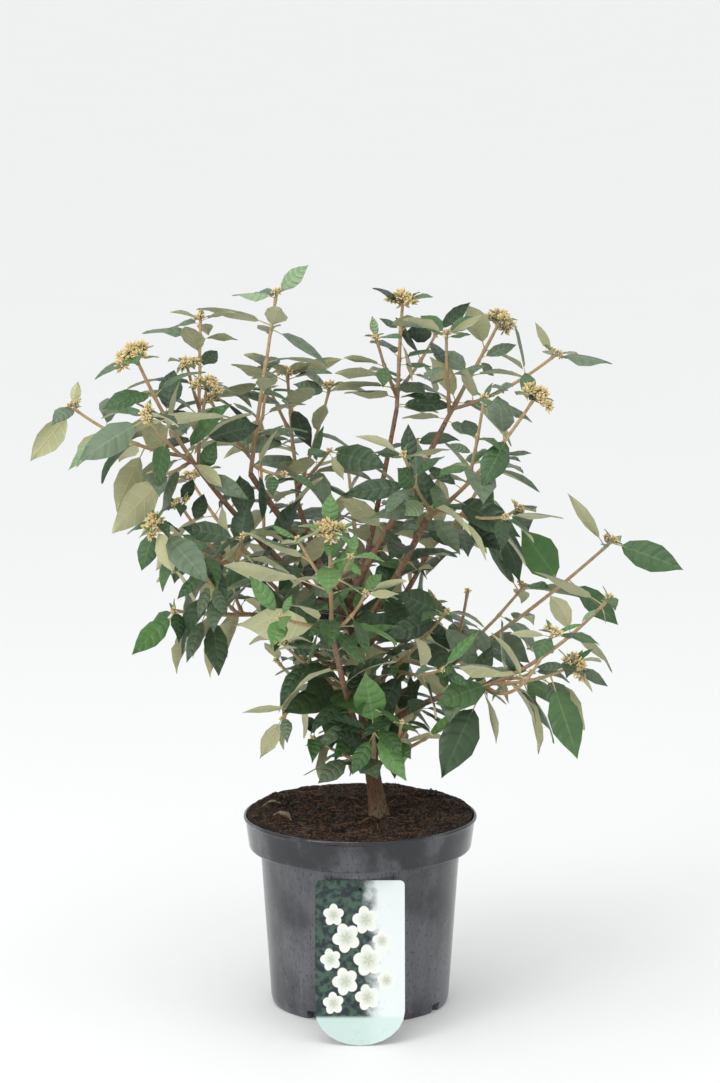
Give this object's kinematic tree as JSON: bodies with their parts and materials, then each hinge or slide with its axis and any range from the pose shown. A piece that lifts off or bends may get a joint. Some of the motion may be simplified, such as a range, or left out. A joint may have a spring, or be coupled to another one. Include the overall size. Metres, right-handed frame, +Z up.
{
  "type": "potted snowball viburnum shrub",
  "caption": "Young evergreen snowball viburnum shrub with tan winter bud heads, in a round black nursery pot of peat with a plant label.",
  "frame": {"origin": "centre of the pot's flat underside, on the surface that the pot stands on", "axes": "+Z up along the pot's axis; -Y towards the front, where the label leans on the pot; +X to the right as seen from the front"},
  "size_m": [0.715, 0.5155, 0.824],
  "materials": {
    "pot": "satin black, scuffed",
    "peat": "moist and crumbly",
    "label": "smooth printed plastic",
    "bark": "rough, finely fissured",
    "young_bark": "felted",
    "foliage": "leathery, veined, with felted undersides"
  },
  "bodies": {
    "root": {"pot": "pot", "soil": "peat", "plant_tag": "label", "trunk": "bark", "bough_left": "young_bark", "bough_upper_right": "young_bark", "bough_far_left": "young_bark", "bough_centre": "young_bark", "bough_right": "young_bark", "bough_mid_left": "young_bark", "bough_side_left": "young_bark", "bough_back_right": "young_bark", "bough_low_left": "young_bark", "bough_back": "young_bark", "bough_long_right": "young_bark", "bough_back_left": "young_bark", "bough_low_right": "young_bark", "bough_low_back": "young_bark", "bough_front": "young_bark", "foliage_upper_left": "foliage", "foliage_far_left": "foliage", "foliage_mid_left": "foliage", "foliage_top_centre": "foliage", "foliage_upper_right": "foliage", "foliage_right": "foliage", "foliage_long_right": "foliage", "foliage_low_right": "foliage", "foliage_front": "foliage", "foliage_low_left": "foliage", "foliage_side_left": "foliage", "foliage_back_right": "foliage", "foliage_back": "foliage", "foliage_back_left": "foliage", "foliage_low_back": "foliage", "spray_centre_left": "foliage", "spray_centre_right": "foliage", "spray_back_low_left": "foliage", "spray_low_right": "foliage", "spray_low_front": "foliage", "spray_low_back": "foliage"}
  },
  "joints": []
}
